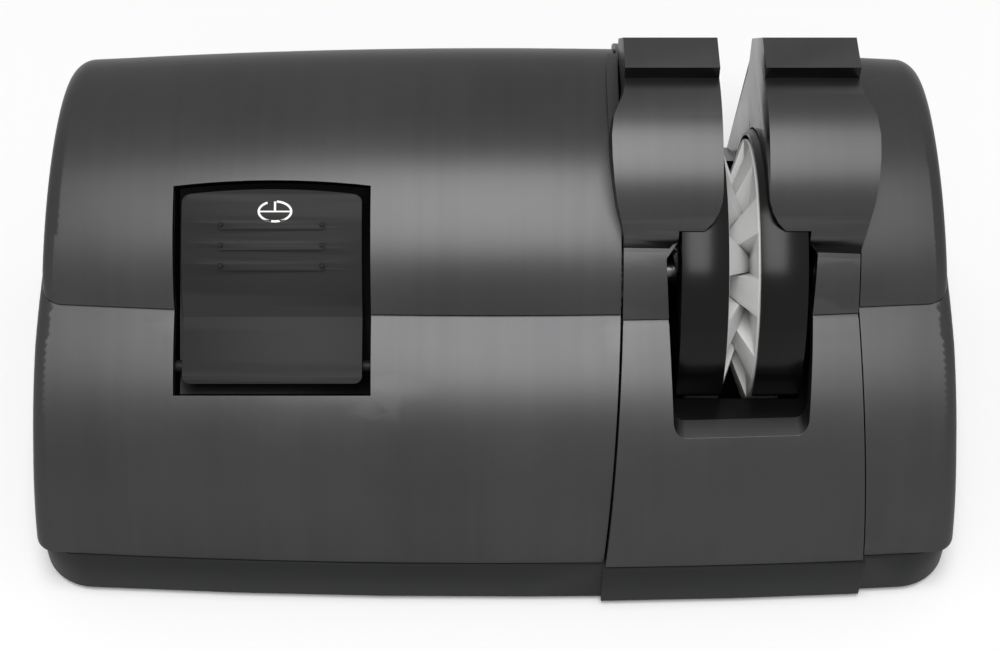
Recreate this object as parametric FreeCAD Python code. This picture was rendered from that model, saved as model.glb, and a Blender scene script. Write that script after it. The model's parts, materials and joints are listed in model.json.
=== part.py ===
import FreeCAD, Part

import math
import os

# Electric knife sharpener with two interleaved grinding wheels.
# X runs along the housing, Y from front to back, Z up from the table.
# Every length is in millimetres and every angle in degrees.

V = FreeCAD.Vector

# Whole housing
length = 200.0
depth = 112.0
foot_drop = 1.5
band_height = 12.0
wall = 2.4
seam = 0.4
fit = 0.15
running_fit = 0.05
end_bow = 3.2

# Base band and raised front panel
band_proud = 0.5
panel_proud = 1.3
band_corner = 12.0
floor_thickness = 2.5

# Apron, the convex front below the crease
apron_radius = 59.0
apron_foot_angle = 80.0
crease_z = 57.0
side_draft = 4.6
body_corner = 5.0

# Hood, the barrel above the crease
hood_radius = 46.0
hood_start_angle = 60.0
hood_lip = 0.9
hood_side_step = 0.8
hood_corner = 5.0

# Head: twin towers with the knife slot between them
head_x = 51.5
strip_foot_half = 27.8
strip_top_half = 24.7
slot_half = 4.75
tower_radius = 26.1
tower_y = 11.2
tower_z = 65.2
tower_half = 27.8
tower_flare_z = 84.0
tower_back_y = 38.0
block_half = 24.5
block_y = 15.2
block_depth = 9.2
block_rise = 2.6
recess_half = 15.8
recess_foot_half = 14.0
recess_z = 42.0
recess_top_z = 69.5
recess_corner = 2.6
channel_floor_y = 31.8
channel_floor_z = 49.5
channel_exit_z = 28.0

# Grinding wheels
wheel_y = 1.0
wheel_z = 47.0
wheel_radius = 28.5
wheel_half_width = 10.0
finger_count = 10
finger_reach = 3.0
groove_half_angle = 20.0
finger_gap_angle = 1.4
guard_gap = 0.9
guard_wall = 1.3
guard_slot_half = 3.3
guard_half = 13.0

# Shafts, bearings and gears
shaft_radius = 3.0
shaft_left = 26.6
shaft_right = 24.0
bearing_radius = 7.0
seat_fit = 0.02
bracket_offset = 18.4
bracket_thickness = 4.0
bracket_margin = 4.0
bracket_foot = 6.0
gear_module = 0.8
pressure_angle = 20.0
backlash = 0.12
output_teeth = 32
idler_small_teeth = 14
idler_big_teeth = 42
pinion_teeth = 12
gear_face = 4.0
gear_gap = 0.8
idler_axle_radius = 2.0

# Motor
motor_y = 22.0
motor_z = 30.0
motor_radius = 18.0
motor_length = 58.0
motor_shaft_radius = 1.6
motor_wall = 1.4
motor_cap = 4.0
motor_plate = 3.0
armature_radius = 12.0
magnet_thickness = 3.6

# Switch button
button_x = -46.6
button_half = 18.8
button_low = 6.4
button_high = 45.9
button_arch = 1.2
button_gap = 1.9
button_end_gap = 2.5
button_thickness = 2.4
button_sink = 0.5
press_angle = 50.0
well_depth = 11.0
well_wall = 1.4
rib_length = 22.7
rib_width = 2.0
rib_pitch = 4.3
rib_rise = 0.5
rib_first = 31.0
pin_radius = 1.25
pin_along = 10.0
pin_down = 5.6

# Feet, screws and inlet
foot_radius = 6.0
foot_x = 84.0
foot_y = 40.0
screw_x = 70.0
screw_y = 34.0
screw_radius = 1.5
screw_head_radius = 2.8
boss_radius = 4.0
inlet_x = -72.0
inlet_width = 20.0
inlet_height = 12.0
inlet_depth = 16.0
inlet_pin_radius = 1.2
inlet_pin_pitch = 8.6

# Places that follow from the sizes above
band_top = foot_drop + band_height
half_length = length / 2
body_foot_half = half_length - band_proud
body_top_half = body_foot_half - side_draft
hood_half = body_top_half - hood_side_step
front_y = -depth / 2 + band_proud + panel_proud
rear_y = depth / 2 - band_proud
body_bottom = band_top + seam
foot_slope = math.radians(apron_foot_angle)
apron_y = front_y + apron_radius * math.sin(foot_slope)
apron_z = band_top - apron_radius * math.cos(foot_slope)
crease_y = apron_y - math.sqrt(apron_radius ** 2 - (crease_z - apron_z) ** 2)
hood_start = math.radians(hood_start_angle)
hood_y = crease_y - hood_lip + hood_radius * math.sin(hood_start)
hood_z = crease_z - hood_radius * math.cos(hood_start)
hood_bottom = crease_z + seam
block_top = tower_z + tower_radius + block_rise
overhang = 10.0
press_sin = math.sin(math.radians(press_angle))
press_cos = math.cos(math.radians(press_angle))
guard_radius = wheel_radius + guard_gap + guard_wall
tray_floor_z = foot_drop + floor_thickness

# Button parts, electric parts, gears and fits
surface_out = 59.0
well_floor_out = surface_out - well_depth
gear_a0 = head_x - bracket_offset - bracket_thickness - gear_gap - gear_face
gear_a1 = gear_a0 + gear_face
gear_b0 = gear_a0 - gear_gap - gear_face
gear_b1 = gear_b0 + gear_face
plate_x = gear_b0 - motor_plate - 2.0
pin_out = surface_out - pin_down
plunger_along = 37.0
spring_along = 24.0
ear_offset = 12.0
ear_thickness = 3.0
nub_out = 52.4
switch_half = 7.0
switch_depth = 7.0
plunger_radius = 1.2
plunger_gap = 0.25
spring_width = 6.0
spring_sheet = 0.4
spring_relief = 2.2
board_z = 9.0
board_left = -90.0
board_width = 34.0
board_front = -22.0
board_depth = 40.0
board_thickness = 1.6
board_posts_x = (board_left + 4.0, board_left + board_width - 4.0)
board_posts_y = (board_front + 4.0, board_front + board_depth - 4.0)
cradle_x = (plate_x - motor_length + 10.0, plate_x - 14.0)
inlet_z = 28.0
boss_top = 34.0
screw_sink = 1.6
screw_top = 24.0
foot_sink = 0.8
vent_count = 9
vent_x = plate_x - motor_length + 14.0
vent_pitch = 4.0
vent_width = 1.8
vent_y = 6.0
vent_length = 30.0
channel_floor_wall = 1.6
tower_clearance = 0.3
recess_drop = 2.4
tray_back_y = -4.0
finger_phase = 0.0
corner_names = ("front_left", "front_right", "rear_right", "rear_left")


def line(a, b):
    return Part.makeLine(a, b)


def arc(a, b, c):
    return Part.Arc(a, b, c).toShape()


def loop(points):
    return Part.Wire(Part.makePolygon(points + [points[0]]).Edges)


def prism(wire, sweep):
    return Part.Face(wire).extrude(sweep)


def box(x0, x1, y0, y1, z0, z1):
    return Part.makeBox(x1 - x0, y1 - y0, z1 - z0, V(x0, y0, z0))


def rod(x0, x1, y, z, radius):
    return Part.makeCylinder(radius, x1 - x0, V(x0, y, z), V(1, 0, 0))


def post(x, y, z0, z1, radius):
    return Part.makeCylinder(radius, z1 - z0, V(x, y, z0))


def rounded(shape, radius, wanted):
    edges = [edge for edge in shape.Edges if wanted(edge)]
    return shape.makeFillet(radius, edges)


def yz_prism(points, x0, x1):
    return prism(loop([V(x0, y, z) for y, z in points]), V(x1 - x0, 0, 0))


def xz_prism(points, y0, y1):
    return prism(loop([V(x, y0, z) for x, z in points]), V(0, y1 - y0, 0))


# Outer forms: each is lofted through upright sections across the length

def bow_at(x):
    return end_bow * (x / half_length) ** 2


def apron_wire(x, inset, bottom, top):
    radius = apron_radius - inset
    centre = apron_y + bow_at(x)
    ridge = min(top, apron_z + radius * math.cos(math.radians(90 - apron_foot_angle) * 2.1))
    spots = []
    for z in (bottom, (bottom + ridge) / 2, ridge):
        spots.append(V(x, centre - math.sqrt(radius ** 2 - (z - apron_z) ** 2), z))
    back = rear_y - inset - bow_at(x)
    lip = V(x, max(spots[2].y, crease_y + bow_at(x) + inset), top)
    rear = [V(x, back, top), V(x, back, bottom)]
    edges = [arc(*spots)]
    if (lip - spots[2]).Length > 0.01:
        edges.append(line(spots[2], lip))
    edges += [line(lip, rear[0]), line(rear[0], rear[1]), line(rear[1], spots[0])]
    return Part.Wire(edges)


def hood_wire(x, inset, bottom):
    radius = hood_radius - inset - bow_at(x)
    back = rear_y - max(inset, 0.0) - bow_at(x)
    start = V(x, hood_y - math.sqrt(radius ** 2 - (bottom - hood_z) ** 2), bottom)
    crown = V(x, hood_y, hood_z + radius)
    end = V(x, back, hood_z + math.sqrt(radius ** 2 - (back - hood_y) ** 2))
    heel = V(x, back, bottom)
    return Part.Wire([arc(start, crown, end), line(end, heel), line(heel, start)])


def stations():
    reach = half_length + overhang
    return [reach * share for share in (-1.0, -0.5, 0.0, 0.5, 1.0)]


def barrel(wire_at):
    return Part.makeLoft([wire_at(x) for x in stations()], True, False)


def side_limits(foot_half, top_half, bottom, top):
    outline = [(-foot_half, bottom), (foot_half, bottom), (top_half, top), (-top_half, top)]
    return xz_prism(outline, -depth, depth)


def on_side(edge, low_z):
    box_of = edge.BoundBox
    far = min(abs(box_of.XMin), abs(box_of.XMax)) > hood_half - 6.0
    return far and box_of.XLength < 8.0 and box_of.ZMax > low_z + 0.5


def body_form(inset):
    bottom = body_bottom
    top = crease_z
    form = barrel(lambda x: apron_wire(x, inset, bottom, top))
    limits = side_limits(body_foot_half - inset, body_top_half - inset, bottom, top)
    form = form.common(limits)
    if inset != 0:
        return form

    def upright(edge):
        ends = edge.BoundBox
        return on_side(edge, bottom) and ends.ZMin < top - 1.0 and ends.ZLength > 10.0

    return rounded(form, body_corner, upright)


def hood_form(inset):
    form = barrel(lambda x: hood_wire(x, inset, hood_bottom))
    top = hood_z + hood_radius
    slope = 1.2 * (top - hood_bottom) / (top - hood_z)
    limits = side_limits(hood_half - inset, hood_half - inset - slope, hood_bottom, top + 2.0)
    form = form.common(limits)
    if inset != 0:
        return form
    return rounded(form, hood_corner, lambda edge: on_side(edge, hood_bottom))


def strip_limits(grow, bottom, top):
    foot = strip_foot_half + grow
    neck = strip_top_half + grow
    outline = [
        (head_x - foot, band_top), (head_x + foot, band_top), (head_x + neck, crease_z),
        (head_x + neck, block_top + 5.0), (head_x - neck, block_top + 5.0), (head_x - neck, crease_z),
    ]
    whole = xz_prism(outline, -depth, depth)
    return whole.common(box(-length, length, -depth, depth, bottom, top))


def press_point(x, along, out):
    y = along * press_sin - out * press_cos
    z = along * press_cos + out * press_sin
    return V(x, y, z)


def button_outline(grow, end_grow, out):
    left = button_x - button_half - grow
    right = button_x + button_half + grow
    low = button_low - end_grow
    high = button_high + grow
    crown = high + button_arch
    corners = [press_point(left, low, out), press_point(right, low, out), press_point(right, high, out)]
    top_left = press_point(left, high, out)
    arch = arc(corners[2], press_point(button_x, crown, out), top_left)
    edges = [line(corners[0], corners[1]), line(corners[1], corners[2]), arch, line(top_left, corners[0])]
    return Part.Wire(edges)


def button_prism(grow, end_grow, out0, out1):
    wire = button_outline(grow, end_grow, out0)
    solid = prism(wire, press_point(0, 0, out1) - press_point(0, 0, out0))
    return solid


# Recess and slot, cut through the head from the front

def opening_limits():
    neck = slot_half
    outline = [
        (head_x - recess_foot_half, recess_z), (head_x + recess_foot_half, recess_z),
        (head_x + recess_half, recess_top_z - 2.0), (head_x + recess_half - 2.0, recess_top_z),
        (head_x + neck + 5.0, recess_top_z + 3.0), (head_x + neck + 1.2, recess_top_z + 6.0),
        (head_x + neck, recess_top_z + 10.0), (head_x + neck, block_top + 5.0),
        (head_x - neck, block_top + 5.0), (head_x - neck, recess_top_z + 10.0),
        (head_x - neck - 1.2, recess_top_z + 6.0), (head_x - neck - 5.0, recess_top_z + 3.0),
        (head_x - recess_half + 2.0, recess_top_z), (head_x - recess_half, recess_top_z - 2.0),
    ]
    front = xz_prism(outline, -depth, wheel_y)

    def lower_corner(edge):
        ends = edge.BoundBox
        return ends.YLength > 10.0 and ends.ZMax < recess_z + 0.5

    return rounded(front, recess_corner, lower_corner)


def slot_cut():
    points = [
        (-depth, recess_top_z + 10.0), (wheel_y, recess_top_z + 10.0), (wheel_y, recess_z),
        (channel_floor_y, channel_floor_z), (depth / 2 + 2.0, channel_exit_z),
        (depth / 2 + 2.0, block_top + 5.0), (-depth, block_top + 5.0),
    ]
    return yz_prism(points, head_x - slot_half, head_x + slot_half)


def tower(side, inset):
    top = tower_z + tower_radius
    radius = tower_radius - inset
    start = math.radians(-90 + 20)
    low = V(0, tower_y + radius * math.sin(start), tower_z + radius * math.cos(start))
    mid = V(0, tower_y - radius * math.sin(math.radians(30)), tower_z + radius * math.cos(math.radians(30)))
    riser = block_y + inset
    riser_z = tower_z + math.sqrt(radius ** 2 - (riser - tower_y) ** 2)
    cap = block_top - inset
    block_end = block_y + block_depth - inset * 0.5
    rest = [
        V(0, riser, riser_z), V(0, riser, cap), V(0, block_end, cap),
        V(0, tower_back_y - inset, top - 10.0), V(0, tower_back_y - inset, hood_bottom), V(0, low.y, hood_bottom),
    ]
    edges = [arc(low, mid, rest[0])]
    chain = rest + [low]
    for first, second in zip(chain[:-1], chain[1:]):
        edges.append(line(first, second))
    solid = prism(Part.Wire(edges), V(tower_half + 2.0, 0, 0))
    inner = slot_half + inset
    outer = tower_half - inset
    neck = strip_top_half - inset
    foot = recess_top_z + 2.0
    front_view = Part.Wire([
        line(V(inner, 0, hood_bottom), V(neck, 0, hood_bottom)),
        line(V(neck, 0, hood_bottom), V(neck, 0, foot)),
        arc(V(neck, 0, foot), V(outer - 0.7, 0, (foot + tower_flare_z) / 2 + 1.0), V(outer, 0, tower_flare_z)),
        arc(V(outer, 0, tower_flare_z), V(outer - 1.3, 0, top - inset - 2.2), V(outer - 4.2, 0, top - inset)),
        line(V(outer - 4.2, 0, top - inset), V(block_half - inset, 0, block_top - inset + 0.3)),
        line(V(block_half - inset, 0, block_top - inset + 0.3), V(inner, 0, block_top - inset + 0.3)),
        line(V(inner, 0, block_top - inset + 0.3), V(inner, 0, hood_bottom)),
    ])
    mould = prism(front_view, V(0, 2 * depth, 0))
    mould.translate(V(0, -depth, 0))
    solid = solid.common(mould)
    if side < 0:
        solid = solid.mirror(V(0, 0, 0), V(1, 0, 0))
    solid.translate(V(head_x, 0, 0))
    return solid


def wheel_rod(x0, x1, radius):
    return rod(head_x + x0, head_x + x1, wheel_y, wheel_z, radius)


# Base

def band_form(inset, bottom, top):
    half = half_length - inset
    front = -depth / 2 + panel_proud + inset
    rear = depth / 2 - inset
    corners = [V(-half, front + end_bow, bottom), V(half, front + end_bow, bottom)]
    backs = [V(half, rear - end_bow, bottom), V(-half, rear - end_bow, bottom)]
    edges = [arc(corners[0], V(0, front, bottom), corners[1]), line(corners[1], backs[0])]
    edges += [arc(backs[0], V(0, rear, bottom), backs[1]), line(backs[1], corners[0])]
    form = prism(Part.Wire(edges), V(0, 0, top - bottom))
    return rounded(form, band_corner - inset, lambda edge: edge.BoundBox.ZLength > (top - bottom) * 0.99)


def four(x, y):
    return [(-x, -y), (x, -y), (x, y), (-x, y)]


def base_tray():
    band = band_form(0, foot_drop, band_top)
    step_half = strip_foot_half + band_proud
    step = band_form(0, foot_drop, band_top)
    step.translate(V(0, -panel_proud, 0))
    step = step.common(box(head_x - step_half, head_x + step_half, -depth, 0, foot_drop, band_top))
    tray = band.fuse(step).cut(band_form(wall, tray_floor_z, band_top + 1.0))
    posts = [post(x, y, tray_floor_z - 0.5, body_bottom, boss_radius) for x, y in four(screw_x, screw_y)]
    for x in board_posts_x:
        posts += [post(x, y, tray_floor_z - 0.5, board_z, 2.5) for y in board_posts_y]
    for x in cradle_x:
        rib = box(x, x + wall, motor_y - 14.0, motor_y + 14.0, tray_floor_z - 0.5, motor_z - 8.0)
        posts.append(rib.cut(rod(x - 1.0, x + wall + 1.0, motor_y, motor_z, motor_radius + seat_fit)))
    tray = tray.fuse(posts)
    holes = []
    for x, y in four(screw_x, screw_y):
        holes.append(post(x, y, 0, body_bottom + 1.0, screw_radius + fit))
        holes.append(post(x, y, 0, foot_drop + screw_sink, screw_head_radius + fit))
    for x, y in four(foot_x, foot_y):
        holes.append(post(x, y, 0, foot_drop + foot_sink, foot_radius + fit))
    for index in range(vent_count):
        x = vent_x + index * vent_pitch
        holes.append(box(x, x + vent_width, vent_y, vent_y + vent_length, 0, tray_floor_z + 1.0))
    return tray.cut(Part.makeCompound(holes)).removeSplitter()


def body_shell():
    shell = body_form(0).cut(body_form(wall))
    panel_zone = strip_limits(seam, body_bottom - 1.0, crease_z + 1.0)
    shell = shell.cut(panel_zone.common(box(0, length, -depth, crease_y + 8.0, 0, length)))
    shell = shell.cut(button_prism(button_gap, button_end_gap, well_floor_out, surface_out + 20.0))
    bosses = []
    for x, y in four(screw_x, screw_y):
        boss = post(x, y, body_bottom, boss_top, boss_radius)
        reach = math.copysign(depth, y)
        y0, y1 = sorted((y, reach))
        rib = box(x - 1.0, x + 1.0, y0, y1, body_bottom, boss_top)
        bosses += [boss, rib.common(body_form(wall / 2))]
    front_zone = strip_limits(seam, 0, crease_z + 1.0).common(box(0, length, -depth, crease_y + 8.0, 0, length))
    frame = Part.makeCompound(bosses).cut(front_zone)
    shell = shell.fuse(frame.Solids)
    notch_half = slot_half + well_wall + fit
    rim = channel_exit_z - channel_floor_wall - fit
    shell = shell.cut(box(head_x - notch_half, head_x + notch_half, 20.0, depth, rim, length))
    half = inlet_width / 2 + fit
    low = inlet_z - inlet_height / 2 - fit
    high = inlet_z + inlet_height / 2 + fit
    shell = shell.cut(box(inlet_x - half, inlet_x + half, 20.0, depth, low, high))
    for x, y in four(screw_x, screw_y):
        shell = shell.cut(post(x, y, body_bottom - 1.0, screw_top, screw_radius + seat_fit))
    return shell


def hood_shell():
    shell = hood_form(0).cut(hood_form(wall))
    return shell.cut(button_prism(button_gap, button_end_gap, well_floor_out, surface_out + 20.0))


def hood_left():
    edge = head_x - strip_top_half - seam
    return hood_shell().common(box(-length, edge, -depth, depth, 0, length))


def hood_right():
    edge = head_x + strip_top_half + seam
    return hood_shell().common(box(edge, length, -depth, depth, 0, length))


def front_panel():
    bottom = body_bottom
    outer = barrel(lambda x: apron_wire(x, -panel_proud, bottom, crease_z))
    inner = barrel(lambda x: apron_wire(x, wall, bottom - 1.0, crease_z + 0.5))
    panel = outer.cut(inner).common(strip_limits(0, bottom, crease_z))
    panel = panel.common(box(0, length, -depth, crease_y + 7.0, 0, length))
    return panel.cut(opening_limits())


def channel():
    inner = slot_half
    outer = slot_half + well_wall
    drop = channel_floor_wall
    outline = [
        (wheel_y + 22.0, hood_bottom + 8.0), (channel_floor_y - 1.0, channel_floor_z - drop),
        (rear_y, channel_exit_z - drop), (rear_y, hood_bottom), (tower_back_y, hood_z + hood_radius - 8.0),
    ]
    block = yz_prism(outline, head_x - outer, head_x + outer)
    return block.cut(slot_cut())


def head_cover():
    skin = barrel(lambda x: hood_wire(x, -panel_proud, hood_bottom))
    hollow = barrel(lambda x: hood_wire(x, wall, hood_bottom - 1.0))
    strip = skin.cut(hollow).common(strip_limits(0, hood_bottom, block_top))
    plain = barrel(lambda x: hood_wire(x, -tower_clearance, hood_bottom - 1.0))
    trimmed = plain.cut(strip_limits(0, 0, length))
    seat = barrel(lambda x: hood_wire(x, wall / 2, hood_bottom - 1.0))
    pieces = [strip]
    hollows = []
    for side in (-1, 1):
        pieces.append(tower(side, 0).cut(trimmed).cut(seat))
        hollows.append(tower(side, wall).cut(trimmed))
    cover = pieces[0].fuse(pieces[1:]).cut(Part.makeCompound(hollows))
    cover = cover.fuse(channel())
    drum = wheel_rod(-guard_half - 0.4, guard_half + 0.4, guard_radius + 0.4)
    cover = cover.cut(drum).cut(opening_limits()).cut(slot_cut())
    return cover.removeSplitter()


# Space inside the mouldings, one fit clear of them

def inner_space():
    behind = barrel(lambda x: apron_wire(x, wall + fit, body_bottom, crease_z + 0.5))
    hooded = barrel(lambda x: hood_wire(x, wall + fit, crease_z))
    return behind.fuse(hooded)


# Recess and wheel guards

def recess_tray():
    half = recess_half + well_wall
    low = recess_z - recess_drop
    outer = box(head_x - half, head_x + half, -depth, tray_back_y, low - well_wall, recess_top_z - 4.0)
    inner = [
        box(head_x - recess_half, head_x + recess_half, -depth, tray_back_y + 1.0, low, length),
    ]
    tray = outer.cut(inner[0])
    drum = wheel_rod(-guard_half - 0.4, guard_half + 0.4, guard_radius + 0.4)
    tray = tray.cut(drum)
    return tray.common(inner_space())


def wheel_guard(side):
    near, far = guard_slot_half, guard_half
    shell = wheel_rod(near, far, guard_radius).cut(wheel_rod(near - 1.0, far - guard_wall, guard_radius - guard_wall))
    shell = shell.cut(wheel_rod(near, far + 1.0, shaft_radius * 2.8))
    low = recess_z - recess_drop + 0.3
    shell = shell.cut(box(head_x, length, -depth, depth, 0, low))
    skirt_low = recess_top_z - 11.0
    skirt_high = recess_top_z - 0.5
    reach = recess_half - fit
    skirt = Part.Wire([
        line(V(head_x + far - 1.0, 0, skirt_low), V(head_x + far, 0, skirt_low)),
        arc(V(head_x + far, 0, skirt_low), V(head_x + far + 0.9, 0, skirt_low + 5.2), V(head_x + reach, 0, skirt_high - 1.5)),
        line(V(head_x + reach, 0, skirt_high - 1.5), V(head_x + reach, 0, skirt_high)),
        line(V(head_x + reach, 0, skirt_high), V(head_x + far - 1.0, 0, skirt_high)),
        line(V(head_x + far - 1.0, 0, skirt_high), V(head_x + far - 1.0, 0, skirt_low)),
    ])
    flare = prism(skirt, V(0, 20.0, 0))
    flare.translate(V(0, wheel_y - 14.0, 0))
    flare = flare.common(wheel_rod(near, reach + 1.0, guard_radius))
    flare = flare.cut(wheel_rod(near, far - guard_wall, guard_radius - guard_wall))
    under = barrel(lambda x: hood_wire(x, wall + fit, hood_bottom - 6.0))
    flare = flare.common(under)
    guard = shell.fuse(flare)
    if side < 0:
        guard = guard.mirror(V(head_x, 0, 0), V(1, 0, 0))
    return guard


# Grinding wheels and their shaft

def grinding_wheel(side):
    step = 360.0 / finger_count
    run = 2 * finger_reach
    tip = wheel_radius - run / math.tan(math.radians(groove_half_angle))
    hub = shaft_radius + 5.0
    disc = wheel_rod(-wheel_half_width, -finger_reach, wheel_radius)
    points = [(-finger_reach, hub), (-finger_reach, wheel_radius), (finger_reach, tip), (finger_reach, hub)]
    span = step / 2 - finger_gap_angle
    face = Part.Face(loop([V(head_x + x, wheel_y, wheel_z + r) for x, r in points]))
    fingers = []
    axis_point = V(head_x, wheel_y, wheel_z)
    for index in range(finger_count):
        turned = face.copy()
        turned.rotate(axis_point, V(1, 0, 0), index * step - span / 2 + finger_phase)
        fingers.append(turned.revolve(axis_point, V(1, 0, 0), span))
    boss = wheel_rod(-finger_reach - 0.5, 0, hub - fit)
    wheel = disc.fuse(fingers + [boss])
    wheel = wheel.cut(wheel_rod(-wheel_half_width - 1.0, 1.0, shaft_radius + seat_fit))
    if side > 0:
        wheel = wheel.mirror(axis_point, V(1, 0, 0))
        wheel.rotate(axis_point, V(1, 0, 0), step / 2)
    return wheel


def wheel_shaft():
    shaft = wheel_rod(-shaft_left, shaft_right, shaft_radius)
    collar = wheel_rod(-wheel_half_width - 1.6, -wheel_half_width, shaft_radius * 2)
    return shaft.fuse(collar)


def clamp_nut():
    corner = shaft_radius * 2
    points = []
    for index in range(6):
        turn = math.radians(60 * index)
        points.append((wheel_y + corner * math.cos(turn), wheel_z + corner * math.sin(turn)))
    start = head_x + wheel_half_width
    nut = yz_prism(points, start, start + 1.6)
    return nut.cut(wheel_rod(wheel_half_width - 1.0, wheel_half_width + 3.0, shaft_radius + seat_fit))


def bearing(side):
    start = bracket_offset if side > 0 else -bracket_offset - bracket_thickness
    ring = wheel_rod(start, start + bracket_thickness, bearing_radius)
    return ring.cut(wheel_rod(start - 1.0, start + bracket_thickness + 1.0, shaft_radius + running_fit))


def bearing_bracket(side):
    start = bracket_offset if side > 0 else -bracket_offset - bracket_thickness
    x0 = head_x + start
    x1 = x0 + bracket_thickness
    top = bearing_radius + bracket_margin
    plate = box(x0, x1, wheel_y - top, wheel_y + top, tray_floor_z, wheel_z)
    plate = plate.fuse(rod(x0, x1, wheel_y, wheel_z, top))
    outward = bracket_foot if side > 0 else -bracket_foot
    f0, f1 = sorted((x0 if side < 0 else x1, (x0 if side < 0 else x1) + outward))
    foot = box(f0, f1, wheel_y - top, wheel_y + top, tray_floor_z, tray_floor_z + 2.0)
    bracket = plate.fuse(foot).removeSplitter()
    bracket = bracket.cut(rod(x0 - 1.0, x1 + 1.0, wheel_y, wheel_z, bearing_radius + seat_fit))
    if side < 0:
        idler_y, idler_z = idler_place()
        bracket = bracket.cut(rod(x0 - 1.0, x1 + 1.0, idler_y, idler_z, idler_axle_radius + seat_fit))
    return bracket


# Gears: involute flanks from a short run of points

def gear_outline(teeth):
    pitch = gear_module * teeth / 2
    base = pitch * math.cos(math.radians(pressure_angle))
    tip = pitch + gear_module
    root = pitch - 1.25 * gear_module
    involute = math.tan(math.radians(pressure_angle)) - math.radians(pressure_angle)
    half = math.pi / (2 * teeth) - backlash / (2 * pitch)

    def flank(radius):
        if radius <= base:
            return half + involute
        roll = math.acos(base / radius)
        return half + involute - (math.tan(roll) - roll)

    steps = [max(base, root), (max(base, root) + pitch) / 2, pitch, (pitch + tip) / 2, tip]
    outline = []
    for index in range(teeth):
        centre = 2 * math.pi * index / teeth
        outline.append((root, centre - flank(steps[0])))
        outline += [(radius, centre - flank(radius)) for radius in steps]
        outline += [(radius, centre + flank(radius)) for radius in reversed(steps)]
        outline.append((root, centre + flank(steps[0])))
    return outline


def gear(teeth, x0, x1, y, z, phase):
    points = []
    for radius, turn in gear_outline(teeth):
        place = (y + radius * math.cos(turn + phase), z + radius * math.sin(turn + phase))
        if not points or math.dist(place, points[-1]) > 0.01:
            points.append(place)
    return yz_prism(points, x0, x1)


def idler_place():
    first = gear_module * (output_teeth + idler_small_teeth) / 2
    second = gear_module * (pinion_teeth + idler_big_teeth) / 2
    across = V(0, motor_y - wheel_y, motor_z - wheel_z)
    base = across.Length
    along = (first ** 2 - second ** 2 + base ** 2) / (2 * base)
    aside = math.sqrt(first ** 2 - along ** 2)
    way = across / base
    return wheel_y + way.y * along + way.z * aside, wheel_z + way.z * along - way.y * aside


def mesh_phase(y, z, other_y, other_z, teeth, other_teeth, other_phase):
    facing = math.atan2(other_z - z, other_y - y)
    back = facing + math.pi
    shift = (back - other_phase) * other_teeth
    return facing + (shift + math.pi) / teeth


def output_gear():
    blank = gear(output_teeth, gear_a0, gear_a1, wheel_y, wheel_z, 0.0)
    return blank.cut(rod(gear_a0 - 1.0, gear_a1 + 1.0, wheel_y, wheel_z, shaft_radius + seat_fit))


def small_phase():
    y, z = idler_place()
    return mesh_phase(y, z, wheel_y, wheel_z, idler_small_teeth, output_teeth, 0.0)


def idler_gear():
    y, z = idler_place()
    small = gear(idler_small_teeth, gear_b1 - 0.1, gear_a1, y, z, small_phase())
    big = gear(idler_big_teeth, gear_b0, gear_b1, y, z, small_phase())
    hub = rod(plate_x + motor_plate + 0.2, gear_b0, y, z, idler_axle_radius + 1.6)
    cluster = small.fuse([big, hub])
    return cluster.cut(rod(plate_x, gear_a1 + 1.0, y, z, idler_axle_radius + running_fit))


def motor_pinion():
    y, z = idler_place()
    phase = mesh_phase(motor_y, motor_z, y, z, pinion_teeth, idler_big_teeth, small_phase())
    blank = gear(pinion_teeth, gear_b0, gear_b1, motor_y, motor_z, phase)
    return blank.cut(rod(gear_b0 - 1.0, gear_b1 + 1.0, motor_y, motor_z, motor_shaft_radius + seat_fit))


def idler_axle():
    y, z = idler_place()
    return rod(plate_x, head_x - bracket_offset, y, z, idler_axle_radius)


# Motor

def motor_rod(x0, x1, radius):
    return rod(x0, x1, motor_y, motor_z, radius)


def motor_can():
    start = plate_x - motor_length
    can = motor_rod(start, plate_x, motor_radius)
    can = can.cut(motor_rod(start - 1.0, plate_x - motor_wall, motor_radius - motor_wall))
    return can.cut(motor_rod(start, plate_x + 1.0, motor_shaft_radius + 2.0))


def motor_end_cap():
    start = plate_x - motor_length
    cap = motor_rod(start - motor_cap, start, motor_radius - motor_wall)
    return cap.cut(motor_rod(start - motor_cap / 2, start + 1.0, motor_shaft_radius + running_fit))


def motor_magnets():
    outer = motor_radius - motor_wall
    start = plate_x - motor_length + 10.0
    end = plate_x - 10.0
    ring = motor_rod(start, end, outer).cut(motor_rod(start - 1.0, end + 1.0, outer - magnet_thickness))
    gap = box(start - 1.0, end + 1.0, motor_y - 4.0, motor_y + 4.0, motor_z - motor_radius, motor_z + motor_radius)
    return ring.cut(gap)


def motor_shaft():
    start = plate_x - motor_length - motor_cap / 2 + 0.3
    return motor_rod(start, gear_b1 + 0.4, motor_shaft_radius)


def armature():
    start = plate_x - motor_length + 12.0
    end = plate_x - 12.0
    core = motor_rod(start, end, armature_radius)
    slots = []
    for index in range(7):
        slot = box(start - 1.0, end + 1.0, motor_y - 0.9, motor_y + 0.9, motor_z + 5.5, motor_z + armature_radius + 1.0)
        slot.rotate(V(0, motor_y, motor_z), V(1, 0, 0), index * 360.0 / 7)
        slots.append(slot)
    core = core.cut(Part.makeCompound(slots))
    commutator = motor_rod(start - 8.0, start, motor_shaft_radius * 2.4)
    bore = motor_rod(start - 9.0, end + 1.0, motor_shaft_radius + seat_fit)
    return core.fuse(commutator).cut(bore)


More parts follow.
